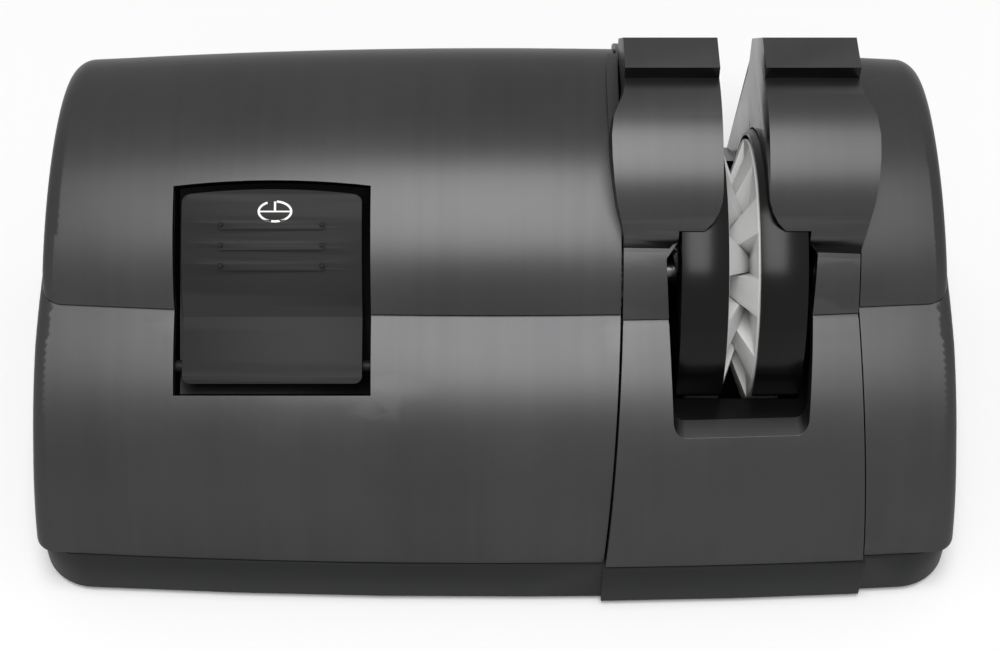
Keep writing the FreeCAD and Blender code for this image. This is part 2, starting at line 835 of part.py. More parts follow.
def motor_bracket():
    x0, x1 = plate_x, plate_x + motor_plate
    y, z = idler_place()
    reach = motor_radius + 1.5
    plate = rod(x0, x1, motor_y, motor_z, reach).fuse([
        rod(x0, x1, y, z, idler_axle_radius + 4.0),
        box(x0, x1, y, motor_y + reach, tray_floor_z, motor_z),
    ])
    foot = box(x1, x1 + bracket_foot - 1.0, y, motor_y + reach, tray_floor_z, tray_floor_z + 2.0)
    bracket = plate.fuse(foot)
    bracket = bracket.cut(rod(x0 - 1.0, x1 + 1.0, motor_y, motor_z, motor_shaft_radius + 2.0))
    return bracket.cut(rod(x0 - 1.0, x1 + 1.0, y, z, idler_axle_radius + seat_fit)).removeSplitter()


# Switch button and what it works

def skin(inset):
    x0 = button_x - 2 * button_half
    x1 = button_x + 2 * button_half
    bow = bow_at(button_x)
    apron = rod(x0, x1, apron_y + bow, apron_z, apron_radius - inset)
    hood = rod(x0, x1, hood_y, hood_z, hood_radius - bow - inset)
    return apron.fuse(hood)


def press_rod(x, along, out0, out1, radius):
    return Part.makeCylinder(radius, out1 - out0, press_point(x, along, out0), press_point(0, 0, 1.0))


def press_block(x0, x1, along0, along1, out0, out1):
    corners = [press_point(x0, along0, out0), press_point(x1, along0, out0)]
    corners += [press_point(x1, along1, out0), press_point(x0, along1, out0)]
    return prism(loop(corners), press_point(0, 0, out1 - out0))


def switch_button():
    face = skin(button_sink).cut(skin(button_sink + button_thickness))
    button = face.common(button_prism(0, 0, well_floor_out + 2.0, surface_out + 10.0))
    ribs = []
    for index in range(3):
        along = rib_first + index * rib_pitch
        x0 = button_x - rib_length / 2 + rib_width / 2
        x1 = button_x + rib_length / 2 - rib_width / 2
        bar = press_block(x0, x1, along - rib_width / 2, along + rib_width / 2, pin_out, surface_out + 10.0)
        ends = [press_rod(x, along, pin_out, surface_out + 10.0, rib_width / 2) for x in (x0, x1)]
        ribs.append(bar.fuse(ends))
    raised = skin(button_sink - rib_rise).cut(skin(button_sink + 0.5))
    button = button.fuse([rib.common(raised) for rib in ribs])
    inside = skin(button_sink + button_thickness / 2)
    pin = press_point(0, pin_along, pin_out)
    for offset in (-ear_offset, ear_offset):
        x0 = button_x + offset - ear_thickness / 2
        x1 = x0 + ear_thickness
        ear = rod(x0, x1, pin.y, pin.z, pin_radius * 2.2)
        web = press_block(x0, x1, pin_along - 2.0, pin_along + 2.0, pin_out, surface_out)
        button = button.fuse(ear.fuse(web).common(inside))
    nub = press_rod(button_x, plunger_along, nub_out, surface_out + 5.0, 2.0)
    button = button.fuse(nub.common(inside))
    x0 = button_x - button_half
    x1 = button_x + button_half
    return button.cut(rod(x0, x1, pin.y, pin.z, pin_radius + running_fit)).removeSplitter()


def button_well():
    outer = button_prism(button_gap + well_wall, button_end_gap + well_wall, well_floor_out - well_wall, surface_out + 5.0)
    inner = button_prism(button_gap, button_end_gap, well_floor_out, surface_out + 10.0)
    well = outer.cut(inner).common(inner_space())
    pin = press_point(0, pin_along, pin_out)
    well = well.cut(rod(-half_length, half_length, pin.y, pin.z, pin_radius + seat_fit))
    hole = press_rod(button_x, plunger_along, well_floor_out - 2 * well_wall, well_floor_out + 1.0, plunger_radius + 0.6)
    return well.cut(hole)


def button_pin():
    pin = press_point(0, pin_along, pin_out)
    reach = button_half + button_gap + well_wall
    return rod(button_x - reach, button_x + reach, pin.y, pin.z, pin_radius)


def button_spring():
    low = well_floor_out
    high = surface_out - button_sink - button_thickness - spring_relief
    path = [(pin_along + 5.0, low), (spring_along, low), (spring_along + 7.0, high), (spring_along + 9.0, high)]
    under = [press_point(button_x - spring_width / 2, along, out) for along, out in path]
    over = [press_point(button_x - spring_width / 2, along, out + spring_sheet) for along, out in path]
    return prism(loop(under + over[::-1]), V(spring_width, 0, 0))


def microswitch():
    top = well_floor_out - well_wall - 0.05
    case = press_block(button_x - switch_half, button_x + switch_half, plunger_along - 3.0, plunger_along + 3.0,
                       top - switch_depth, top)
    return case.cut(press_rod(button_x, plunger_along, top - 4.0, top + 1.0, plunger_radius + running_fit))


def switch_plunger():
    top = well_floor_out - well_wall
    return press_rod(button_x, plunger_along, top - 1.6, nub_out - plunger_gap, plunger_radius)


# Electric parts


def circuit_board():
    return box(board_left, board_left + board_width, board_front, board_front + board_depth,
               board_z, board_z + board_thickness)


def smoothing_capacitor():
    return post(board_left + 9.0, board_front + 30.0, board_z + board_thickness, board_z + 17.0, 5.0)


def bridge_rectifier():
    x = board_left + 18.0
    y = board_front + 8.0
    return box(x, x + 12.0, y, y + 5.0, board_z + board_thickness, board_z + 11.0)


def inlet_socket():
    half = inlet_width / 2
    low = inlet_z - inlet_height / 2
    high = inlet_z + inlet_height / 2
    end = rear_y
    case = box(inlet_x - half, inlet_x + half, end - inlet_depth, end - 1.5, low, high)
    lobes = []
    for offset in (-inlet_pin_pitch / 2, inlet_pin_pitch / 2):
        lobe = Part.makeCylinder(4.0, inlet_depth, V(inlet_x + offset, end - inlet_depth + 3.0, inlet_z), V(0, 1, 0))
        lobes.append(lobe)
    bridge = box(inlet_x - inlet_pin_pitch / 2, inlet_x + inlet_pin_pitch / 2, end - inlet_depth + 3.0, end,
                 inlet_z - 3.0, inlet_z + 3.0)
    socket = case.cut(lobes[0].fuse([lobes[1], bridge]))
    return socket.cut(inlet_pins())


def inlet_pins():
    pins = []
    for offset in (-inlet_pin_pitch / 2, inlet_pin_pitch / 2):
        start = V(inlet_x + offset, rear_y - inlet_depth - 4.0, inlet_z)
        pins.append(Part.makeCylinder(inlet_pin_radius, inlet_depth + 1.0, start, V(0, 1, 0)))
    return Part.makeCompound(pins)


# Feet and screws

def foot(x, y):
    return post(x, y, 0, foot_drop + foot_sink, foot_radius)


def case_screws():
    screws = []
    for x, y in four(screw_x, screw_y):
        head = post(x, y, foot_drop + 0.2, foot_drop + screw_sink, screw_head_radius)
        screws.append(head.fuse(post(x, y, foot_drop + screw_sink, screw_top - 1.0, screw_radius)))
    return Part.makeCompound(screws)


def export(name, shape):
    shape.exportStep("parts/" + name + ".step")
    box_of = shape.BoundBox
    print(name, len(shape.Solids), shape.isValid(), round(shape.Volume), "X %.1f %.1f Y %.1f %.1f Z %.1f %.1f" % (
        box_of.XMin, box_of.XMax, box_of.YMin, box_of.YMax, box_of.ZMin, box_of.ZMax))


os.makedirs("parts", exist_ok=True)

nodes = {
    "base_tray": base_tray,
    "body_shell": body_shell,
    "hood_left": hood_left,
    "hood_right": hood_right,
    "front_panel": front_panel,
    "head_cover": head_cover,
    "recess_tray": recess_tray,
    "guard_left": lambda: wheel_guard(-1),
    "guard_right": lambda: wheel_guard(1),
    "grinding_wheel_left": lambda: grinding_wheel(-1),
    "grinding_wheel_right": lambda: grinding_wheel(1),
    "wheel_shaft": wheel_shaft,
    "wheel_clamp_nut": clamp_nut,
    "bearing_left": lambda: bearing(-1),
    "bearing_right": lambda: bearing(1),
    "bearing_bracket_left": lambda: bearing_bracket(-1),
    "bearing_bracket_right": lambda: bearing_bracket(1),
    "output_gear": output_gear,
    "idler_gear": idler_gear,
    "idler_axle": idler_axle,
    "motor_pinion": motor_pinion,
    "motor_shaft": motor_shaft,
    "motor_armature": armature,
    "motor_magnets": motor_magnets,
    "motor_can": motor_can,
    "motor_end_cap": motor_end_cap,
    "motor_bracket": motor_bracket,
    "switch_button": switch_button,
    "button_well": button_well,
    "button_pin": button_pin,
    "button_spring": button_spring,
    "microswitch": microswitch,
    "switch_plunger": switch_plunger,
    "circuit_board": circuit_board,
    "smoothing_capacitor": smoothing_capacitor,
    "bridge_rectifier": bridge_rectifier,
    "inlet_socket": inlet_socket,
    "inlet_pins": inlet_pins,
    "case_screws": case_screws,
}
for corner_name, place in zip(corner_names, four(foot_x, foot_y)):
    nodes["foot_" + corner_name] = lambda place=place: foot(*place)

for node_name, build in nodes.items():
    export(node_name, build())
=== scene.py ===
import json
import math

import bmesh
import bpy
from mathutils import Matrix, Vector
from mathutils.bvhtree import BVHTree


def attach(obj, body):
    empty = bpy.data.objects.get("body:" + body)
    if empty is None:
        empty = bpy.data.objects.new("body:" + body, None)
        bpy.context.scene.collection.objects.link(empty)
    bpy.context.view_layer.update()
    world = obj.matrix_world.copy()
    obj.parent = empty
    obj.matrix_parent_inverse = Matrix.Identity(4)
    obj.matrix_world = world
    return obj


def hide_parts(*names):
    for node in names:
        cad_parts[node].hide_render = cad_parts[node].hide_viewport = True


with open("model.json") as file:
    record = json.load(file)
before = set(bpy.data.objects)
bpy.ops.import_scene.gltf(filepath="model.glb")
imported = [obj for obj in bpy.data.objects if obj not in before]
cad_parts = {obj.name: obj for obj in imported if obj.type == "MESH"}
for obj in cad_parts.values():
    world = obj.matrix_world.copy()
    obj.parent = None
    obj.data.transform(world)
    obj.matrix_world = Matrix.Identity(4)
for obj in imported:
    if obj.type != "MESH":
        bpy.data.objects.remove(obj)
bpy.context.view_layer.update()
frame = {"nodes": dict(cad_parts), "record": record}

# Sizes in metres, in the same frame as the model
MM = 0.001
PRESS_ANGLE = math.radians(50)
HEAD_X = 51.5 * MM
WHEEL_Y = 1.0 * MM
WHEEL_Z = 47.0 * MM
BUTTON_X = -46.6 * MM
HOOD_CENTRE = Vector((0, 18.5 * MM, 34.0 * MM))
APRON_CENTRE = Vector((0, 3.9 * MM, 3.25 * MM))

# Camera: a long lens in front of and above the sharpener
CAMERA_PLACE = Vector((1.1, -302.6, 389.7)) * MM
CAMERA_TILT = math.radians(40)
CAMERA_LENS = 74.9

END_BOW = 3.2 * MM
HALF_LENGTH = 100 * MM
HOOD_RADIUS = 46.0 * MM
HOOD_FRONT_REACH = 2.0 * MM
APRON_RADIUS = 59.0 * MM
TOWER_RADIUS = 26.1 * MM
TOWER_Y = 11.2 * MM
TOWER_Z = 65.2 * MM
PANEL_PROUD = 1.3 * MM
SLOT_HALF = 4.75 * MM
RISER_Y = 15.2 * MM
RISER_Z = 90.5 * MM
TOWER_HALF = 27.8 * MM
BUTTON_HALF = 18.8 * MM

SMOOTH_ANGLE = math.radians(32)
EDGE_RADIUS = 0.35 * MM
MERGE_DISTANCE = 2e-6
FLAT_ANGLE = math.radians(0.6)

# Towers: profile from the side, in millimetres
TOWER_FOOT = [(-9.0, 66.5), (-12.6, 66.9), (-12.8, 69.4)]
TOWER_BLOCK = [(15.2, 93.9), (24.4, 93.9), (38.0, 81.3), (38.0, 66.5)]
TOWER_ARC_START = 18.0
TOWER_ARC_END = 98.8
TOWER_ARC_STEPS = 44
TOWER_EDGE_RADIUS = 0.7 * MM
TOWER_EDGE_ANGLE = math.radians(35)
DRUM_REACH = 13.6 * MM
DRUM_RADIUS = 31.1 * MM

# Swelling of the ends of the housing
SWELL_START = 82 * MM
SWELL_BLEND = 8 * MM

# Opening out of the slot's rear end
FLARE_START_Y = 38 * MM
FLARE_START_Z = 38 * MM
FLARE_BLEND = 10 * MM
FLARE_SLOPE = 0.19
FLARE_NEAR = 4.5 * MM
FLARE_FAR = 7.0 * MM

# Space under the head panel
PANEL_SPACE_LENGTH = 70.0 * MM
PANEL_SPACE_STEPS = 24
PANEL_SPACE_TURNS = 60
PANEL_SPACE_ANGLE = 88
PANEL_SPACE_REACH_Y = 70.0 * MM
PANEL_SPACE_BOTTOM = 30.0 * MM
PANEL_SPACE_MARGIN = 0.03 * MM

# Switch button
BUTTON_CORNER = 1.7 * MM
SIGN_OFFSET_X = 0.7 * MM
SIGN_ALONG = 42.4 * MM
SIGN_HALF_WIDTH = 3.4 * MM
SIGN_HALF_HEIGHT = 2.1 * MM
SIGN_STROKE = 0.45 * MM
SIGN_RISE = 0.03 * MM
SIGN_CROSS_RISE = 0.04 * MM
SIGN_RING_START = 118
SIGN_RING_TURN = 326
SIGN_RING_STEPS = 72
RIB_MIDDLE_ALONG = 35.3 * MM
PIP_SINK = 0.05 * MM

# Studio
FLOOR_REACH = 3.0
FLOOR_TONE = 0.92
WORLD_SOFT = 0.35
LAMP_PLACE = (0.0, -0.65, 1.9)
LAMP_AIM = (0.0, 0.0, 0.05)
LAMP_SIZE = (0.8, 1.75)
LAMP_POWER = 37.0


# Materials

def new_material(name):
    material = bpy.data.materials.new(name)
    material.use_nodes = True
    tree = material.node_tree
    shader = tree.nodes["Principled BSDF"]
    return material, tree, shader


def add(tree, kind, **values):
    node = tree.nodes.new(kind)
    for key, value in values.items():
        if key in node.inputs:
            node.inputs[key].default_value = value
        else:
            setattr(node, key, value)
    return node


def object_noise(tree, scale, detail=3.0, stretch=(1, 1, 1)):
    place = tree.nodes.new("ShaderNodeTexCoord")
    mapping = add(tree, "ShaderNodeMapping")
    mapping.inputs["Scale"].default_value = stretch
    noise = add(tree, "ShaderNodeTexNoise", Scale=scale, Detail=detail)
    tree.links.new(place.outputs["Object"], mapping.inputs["Vector"])
    tree.links.new(mapping.outputs["Vector"], noise.inputs["Vector"])
    return noise


def ramp_between(tree, source, low, high, start=0.35, end=0.65):
    ramp = tree.nodes.new("ShaderNodeValToRGB")
    ramp.color_ramp.elements[0].position = start
    ramp.color_ramp.elements[1].position = end
    ramp.color_ramp.elements[0].color = (*low, 1)
    ramp.color_ramp.elements[1].color = (*high, 1)
    tree.links.new(source.outputs["Fac"], ramp.inputs["Fac"])
    return ramp


def roughness_between(tree, source, shader, low, high):
    spread = add(tree, "ShaderNodeMapRange")
    spread.inputs["From Min"].default_value = 0.3
    spread.inputs["From Max"].default_value = 0.7
    spread.inputs["To Min"].default_value = low
    spread.inputs["To Max"].default_value = high
    tree.links.new(source.outputs["Fac"], spread.inputs["Value"])
    tree.links.new(spread.outputs["Result"], shader.inputs["Roughness"])


def bump_from(tree, shader, sources, distance):
    normal = None
    for source, strength in sources:
        bump = add(tree, "ShaderNodeBump", Strength=strength, Distance=distance)
        tree.links.new(source.outputs["Fac"], bump.inputs["Height"])
        if normal is not None:
            tree.links.new(normal.outputs["Normal"], bump.inputs["Normal"])
        normal = bump
    tree.links.new(normal.outputs["Normal"], shader.inputs["Normal"])


# Painted highlight: convex edges, found by pointiness, get a lighter colour that stands in for light caught
# by rounded edges
def painted_edge_highlight(tree, base, shader, edge_highlight_colour, amount):
    geometry = tree.nodes.new("ShaderNodeNewGeometry")
    edge_highlight_mask = add(tree, "ShaderNodeMapRange")
    edge_highlight_mask.inputs["From Min"].default_value = 0.52
    edge_highlight_mask.inputs["From Max"].default_value = 0.62
    edge_highlight_mask.inputs["To Max"].default_value = amount
    tree.links.new(geometry.outputs["Pointiness"], edge_highlight_mask.inputs["Value"])
    mix = tree.nodes.new("ShaderNodeMix")
    mix.data_type = "RGBA"
    mix.inputs["B"].default_value = (*edge_highlight_colour, 1)
    tree.links.new(edge_highlight_mask.outputs["Result"], mix.inputs["Factor"])
    tree.links.new(base.outputs["Color"], mix.inputs["A"])
    tree.links.new(mix.outputs["Result"], shader.inputs["Base Color"])


# Painted reflection: fine stretched-noise streaks overlaid on the colour, standing in for faint streaky
# reflections
def painted_reflection_streaks(tree, tone, amount):
    lines = object_noise(tree, 420.0, 2.0, (1.0, 0.03, 0.03))
    mix = tree.nodes.new("ShaderNodeMix")
    mix.data_type = "RGBA"
    mix.blend_type = "OVERLAY"
    mix.inputs["Factor"].default_value = amount
    tree.links.new(tone.outputs["Color"], mix.inputs["A"])
    tree.links.new(lines.outputs["Fac"], mix.inputs["B"])
    carry = add(tree, "ShaderNodeGamma", Gamma=1.0)
    tree.links.new(mix.outputs["Result"], carry.inputs["Color"])
    return carry


def moulded(name, low, high, rough, metallic=0.0, coat=0.0, grain=900.0, grain_depth=0.1,
            edge=None, specular=0.5, reflection_streak_amount=0.0, tint=1.0):
    material, tree, shader = new_material(name)
    shader.inputs["Metallic"].default_value = metallic
    shader.inputs["Coat Weight"].default_value = coat
    shader.inputs["Coat Roughness"].default_value = 0.08
    shader.inputs["Specular IOR Level"].default_value = specular
    shader.inputs["Specular Tint"].default_value = (tint, tint, tint, 1)
    broad = object_noise(tree, 22.0, 4.0)
    fine = object_noise(tree, grain, 2.0)
    tone = ramp_between(tree, broad, low, high)
    # painted reflection streaks over the random tone
    if reflection_streak_amount:
        tone = painted_reflection_streaks(tree, tone, reflection_streak_amount)
    if edge is None:
        tree.links.new(tone.outputs["Color"], shader.inputs["Base Color"])
    else:
        # edge is the colour of this painted edge highlight
        painted_edge_highlight(tree, tone, shader, edge, 0.35)
    roughness_between(tree, broad, shader, *rough)
    bump_from(tree, shader, [(fine, grain_depth)], 0.00006)
    return material


# edge gives the housing a painted highlight on its convex edges
housing = moulded("satin_graphite", (0.046, 0.046, 0.047), (0.055, 0.055, 0.056), (0.34, 0.38),
                  metallic=0.9, grain=2600.0, grain_depth=0.06, edge=(0.08, 0.08, 0.08),
                  specular=0.3, reflection_streak_amount=0.08, tint=0.6)
band = moulded("matt_base", (0.008, 0.0085, 0.009), (0.012, 0.0125, 0.013), (0.5, 0.6), grain=1700.0,
               grain_depth=0.2, specular=0.15)
gloss = moulded("polished_black", (0.002, 0.002, 0.002), (0.004, 0.004, 0.004), (0.2, 0.28), grain=800.0,
                grain_depth=0.03, specular=0.16)
# edge gives the button a painted highlight on its convex edges
button_skin = moulded("soft_matt_button", (0.010, 0.010, 0.010), (0.014, 0.014, 0.014), (0.5, 0.58),
                      grain=2100.0, grain_depth=0.3, edge=(0.04, 0.04, 0.04), specular=0.15)
ceramic = moulded("ground_ceramic", (0.62, 0.62, 0.61), (0.80, 0.80, 0.79), (0.45, 0.6), grain=2500.0,
                  grain_depth=0.5)
steel = moulded("turned_steel", (0.50, 0.50, 0.51), (0.62, 0.62, 0.63), (0.25, 0.38), metallic=1.0)
zinc = moulded("zinc_plate", (0.42, 0.43, 0.45), (0.58, 0.58, 0.60), (0.32, 0.48), metallic=1.0)
brass = moulded("drawn_brass", (0.60, 0.44, 0.20), (0.74, 0.56, 0.28), (0.25, 0.4), metallic=1.0)
bronze = moulded("sintered_bronze", (0.40, 0.26, 0.12), (0.52, 0.34, 0.17), (0.4, 0.55), metallic=1.0)
nylon = moulded("gear_nylon", (0.70, 0.69, 0.62), (0.80, 0.79, 0.73), (0.4, 0.5))
magnet = moulded("ferrite", (0.05, 0.05, 0.05), (0.09, 0.09, 0.09), (0.5, 0.7))
core = moulded("core_sheet", (0.14, 0.12, 0.11), (0.22, 0.20, 0.18), (0.4, 0.5), metallic=1.0)
board = moulded("board_lacquer", (0.02, 0.12, 0.05), (0.03, 0.18, 0.08), (0.25, 0.35))
component = moulded("component_case", (0.02, 0.02, 0.02), (0.035, 0.035, 0.035), (0.4, 0.55))
rubber = moulded("foot_rubber", (0.012, 0.012, 0.012), (0.022, 0.022, 0.022), (0.7, 0.85), grain=1300.0,
                 grain_depth=0.4)
symbol_white = moulded("symbol_print", (0.78, 0.78, 0.76), (0.86, 0.86, 0.84), (0.4, 0.5))
# Painted shade: a near-black finish for the button pin's ends and the rib-end pips, standing in for the shade
# in the gap and at the rib ends
shade_black = moulded("painted_shade_black", (0.01, 0.01, 0.01), (0.016, 0.016, 0.016), (0.45, 0.6),
                    specular=0.15)

FINISH = {
    "housing_grey": housing,
    "band_black": band,
    "gloss_black": gloss,
    "button_black": button_skin,
    "ceramic_white": ceramic,
    "steel": steel,
    "zinc_steel": zinc,
    "bronze": bronze,
    "brass": brass,
    "gear_nylon": nylon,
    "magnet": magnet,
    "core_steel": core,
    "board_green": board,
    "component_black": component,
    "foot_rubber": rubber,
}


def finish_slot(obj, material):
    obj.data.materials.clear()
    obj.data.materials.append(material)


def placed(name, data):
    obj = bpy.data.objects.new(name, data)
    bpy.context.scene.collection.objects.link(obj)
    return obj


def object_from(name, work):
    mesh = bpy.data.meshes.new(name)
    work.to_mesh(mesh)
    work.free()
    return placed(name, mesh)


slot_of = {entry["node"]: entry["material_slot"] for entry in frame["record"]["subparts"]}
body_of = {}
for body, members in frame["record"]["behaviour"]["bodies"].items():
    for member in members:
        body_of[member] = body


# True directions of the two barrel surfaces and the towers, used to shade them without facets

def end_bow(x):
    return END_BOW * (x / HALF_LENGTH) ** 2


def end_bow_slope(x):
    return 2.0 * END_BOW * x / HALF_LENGTH ** 2


def hood_surface(p):
    y = p.y - HOOD_CENTRE.y
    z = p.z - HOOD_CENTRE.z
    reach = math.hypot(y, z)
    bow = end_bow(p.x) if y < HOOD_FRONT_REACH else 0.0
    slope = end_bow_slope(p.x) if y < HOOD_FRONT_REACH else 0.0
    return reach - (HOOD_RADIUS - bow), Vector((slope, y / reach, z / reach)).normalized()


def apron_surface(p):
    y = p.y - APRON_CENTRE.y - end_bow(p.x)
    z = p.z - APRON_CENTRE.z
    reach = math.hypot(y, z)
    return reach - APRON_RADIUS, Vector((-y / reach * end_bow_slope(p.x), y / reach, z / reach)).normalized()


def tower_surface(p):
    y = p.y - TOWER_Y
    z = p.z - TOWER_Z
    reach = math.hypot(y, z)
    return reach - TOWER_RADIUS, Vector((0, y / reach, z / reach))


def offset_of(surface, proud):
    def moved(p):
        distance, normal = surface(p)
        return distance - proud, normal
    return moved


def shade_true(mesh, surfaces, near=0.25 * MM, agree=0.86):
    corner_normals = [Vector(n.vector) for n in mesh.corner_normals]
    for face in mesh.polygons:
        flat = face.normal
        for corner in face.loop_indices:
            place = mesh.vertices[mesh.loops[corner].vertex_index].co
            for surface in surfaces:
                distance, direction = surface(place)
                if abs(distance) < near and flat.dot(direction) > agree:
                    corner_normals[corner] = direction
                    break
    mesh.normals_split_custom_set(corner_normals)


# Towers: a barrel profile with a raised block, trimmed by an outline seen along the press direction

# Outer edge of a tower, as half width against height up that view
TOWER_SIDE = [(24.5, 96.0), (24.5, 68.6), (24.9, 66.4), (25.9, 64.4), (27.0, 61.8), (27.5, 57.6),
              (27.4, 53.0), (27.0, 48.0), (26.4, 43.5), (25.4, 39.5), (24.8, 36.5), (24.6, 30.0)]
# Inner edge, which sweeps out from the slot to the leg
TOWER_SWEEP = [(15.4, 30.0), (15.4, 34.2), (14.6, 35.4), (12.6, 36.0), (10.4, 36.8), (8.4, 37.9), (6.7, 39.6),
               (5.5, 41.7), (4.9, 43.8), (4.75, 46.0), (4.75, 96.0)]


def solid_from(name, points, sweep):
    work = bmesh.new()
    near = [work.verts.new(point) for point in points]
    far = [work.verts.new(Vector(point) + sweep) for point in points]
    work.faces.new(near)
    work.faces.new(list(reversed(far)))
    for index in range(len(points)):
        after = (index + 1) % len(points)
        work.faces.new((near[index], far[index], far[after], near[after]))
    bmesh.ops.recalc_face_normals(work, faces=work.faces)
    return object_from(name, work)


def applied(obj):
    bpy.context.view_layer.update()
    graph = bpy.context.evaluated_depsgraph_get()
    mesh = bpy.data.meshes.new_from_object(obj.evaluated_get(graph))
    obj.modifiers.clear()
    obj.data = mesh
    return obj


def combined(obj, other, operation):
    change = obj.modifiers.new(operation.lower(), "BOOLEAN")
    change.operation = operation
    change.solver = "EXACT"
    change.object = other
    applied(obj)
    bpy.data.objects.remove(other)
    return obj


def tower_profile():
    points = list(TOWER_FOOT)
    for index in range(TOWER_ARC_STEPS + 1):
        share = (TOWER_ARC_END - TOWER_ARC_START) * index / TOWER_ARC_STEPS
        angle = math.radians(TOWER_ARC_START + share)
        y = TOWER_Y - TOWER_RADIUS * math.cos(angle)
        z = TOWER_Z + TOWER_RADIUS * math.sin(angle)
        points.append((y / MM, z / MM))
    return points + TOWER_BLOCK


def drum(reach, radius, steps=96):
    points = []
    for index in range(steps):
        angle = 2.0 * math.pi * index / steps
        y = WHEEL_Y + radius * math.cos(angle)
        z = WHEEL_Z + radius * math.sin(angle)
        points.append((HEAD_X - reach, y, z))
    return solid_from("drum_space", points, Vector((2.0 * reach, 0, 0)))


def tower_form(side):
    reach = TOWER_HALF + 3.0 * MM
    start = HEAD_X if side > 0 else HEAD_X - reach
    profile = [(start, y * MM, z * MM) for y, z in tower_profile()]
    body = solid_from("tower_form", profile, Vector((reach, 0, 0)))
    along = Vector((0, math.cos(PRESS_ANGLE), -math.sin(PRESS_ANGLE)))
    rise = Vector((0, math.sin(PRESS_ANGLE), math.cos(PRESS_ANGLE)))
    outline = []
    for half, height in TOWER_SIDE + TOWER_SWEEP:
        foot = Vector((HEAD_X + side * half * MM, 0, 0))
        outline.append(foot + rise * height * MM - along * 0.15)
    combined(body, solid_from("tower_outline", outline, along * 0.3), "INTERSECT")
    combined(body, drum(DRUM_REACH, DRUM_RADIUS), "DIFFERENCE")
    bevel = body.modifiers.new("broken_edges", "BEVEL")
    bevel.width = TOWER_EDGE_RADIUS
    bevel.segments = 3
    bevel.limit_method = "ANGLE"
    bevel.angle_limit = TOWER_EDGE_ANGLE
    bevel.use_clamp_overlap = True
    return applied(body)


# Ends swell a little around the crease, and the slot opens out behind the towers

# Growth of an end against height, in millimetres
SIDE_SWELL = [(13.0, 0.0), (35.0, 0.8), (50.0, 1.6), (60.0, 1.7), (70.0, 1.1), (82.0, 0.3), (96.0, 0.0)]


def between(table, value):
    for (low, first), (high, last) in zip(table[:-1], table[1:]):
        if value <= high:
            share = max(0.0, (value - low) / (high - low))
            return first + (last - first) * share
    return table[-1][1]


def swell_sides(work):
    for vert in work.verts:
        reach = abs(vert.co.x)
        if reach > SWELL_START:
            share = min(1.0, (reach - SWELL_START) / SWELL_BLEND)
            grown = reach + between(SIDE_SWELL, vert.co.z / MM) * MM * share
            vert.co.x = math.copysign(grown, vert.co.x)


def flare_slot(work):
    for vert in work.verts:
        across = abs(vert.co.x - HEAD_X)
        height = min(1.0, max(0.0, (vert.co.z - FLARE_START_Z) / FLARE_BLEND))
        if vert.co.y > FLARE_START_Y and FLARE_NEAR < across < FLARE_FAR:
            across += (vert.co.y - FLARE_START_Y) * FLARE_SLOPE * height
            vert.co.x = HEAD_X + math.copysign(across, vert.co.x - HEAD_X)


def housing_form(work):
    swell_sides(work)
    flare_slot(work)


def button_form(work):
    press_out = Vector((0, -math.cos(PRESS_ANGLE), math.sin(PRESS_ANGLE)))
    corners = []
    for edge in work.edges:
        run = edge.verts[1].co - edge.verts[0].co
        upright = run.length > 1.0 * MM and abs(run.normalized().dot(press_out)) > 0.95
        if not upright or len(edge.link_faces) != 2 or edge.calc_face_angle() <= 1.0:
            continue
        if all(abs(abs(vert.co.x - BUTTON_X) - BUTTON_HALF) < 0.2 * MM for vert in edge.verts):
            corners.append(edge)
    bmesh.ops.bevel(work, geom=corners, offset=BUTTON_CORNER, segments=5, profile=0.5, affect="EDGES")


def panel_space():
    """Closed space under the head panel's outer surface, which trims the plain towers away."""
    work = bmesh.new()
    rings = []
    for step in range(PANEL_SPACE_STEPS + 1):
        x = HEAD_X + (step / PANEL_SPACE_STEPS - 0.5) * PANEL_SPACE_LENGTH
        reach = HOOD_RADIUS - end_bow(x) + PANEL_PROUD + PANEL_SPACE_MARGIN
        ring = []
        for turn in range(PANEL_SPACE_TURNS + 1):
            angle = math.radians(PANEL_SPACE_ANGLE * (2 * turn / PANEL_SPACE_TURNS - 1))
            y = HOOD_CENTRE.y + reach * math.sin(angle)
            z = HOOD_CENTRE.z + reach * math.cos(angle)
            ring.append(work.verts.new((x, y, z)))
        for y in (PANEL_SPACE_REACH_Y, -PANEL_SPACE_REACH_Y):
            ring.append(work.verts.new((x, y, PANEL_SPACE_BOTTOM)))
        rings.append(ring)
    for first, second in zip(rings[:-1], rings[1:]):
        for index in range(len(first)):
            after = (index + 1) % len(first)
            work.faces.new((first[index], first[after], second[after], second[index]))
    work.faces.new(list(reversed(rings[0])))
    work.faces.new(rings[-1])
    bmesh.ops.recalc_face_normals(work, faces=work.faces)
    return object_from("panel_space", work)


def join_towers_and_paint_shade(obj, others):
    work = bmesh.new()
    work.from_mesh(obj.data)
    for other in others:
        work.from_mesh(other.data)
        bpy.data.objects.remove(other)
    for face in work.faces:
        place = face.calc_center_median()
        # Painted shade: the block's front riser and the slot's inner walls get the black gloss slot, standing
        # in for the shadow in the riser gap and in the slot
        shaded_slot_wall = SLOT_HALF - 0.4 * MM < abs(place.x - HEAD_X) < 2.0 * SLOT_HALF
        shadowed_riser = abs(place.y - RISER_Y) < 0.3 * MM and place.z > RISER_Z and face.normal.y < -0.7
        face.material_index = 1 if shadowed_riser or (shaded_slot_wall and abs(face.normal.x) > 0.7) else 0
        face.smooth = True
    work.to_mesh(obj.data)
    work.free()


# Outer skins: the model's own faces, merged, shaded smooth and given broken edges

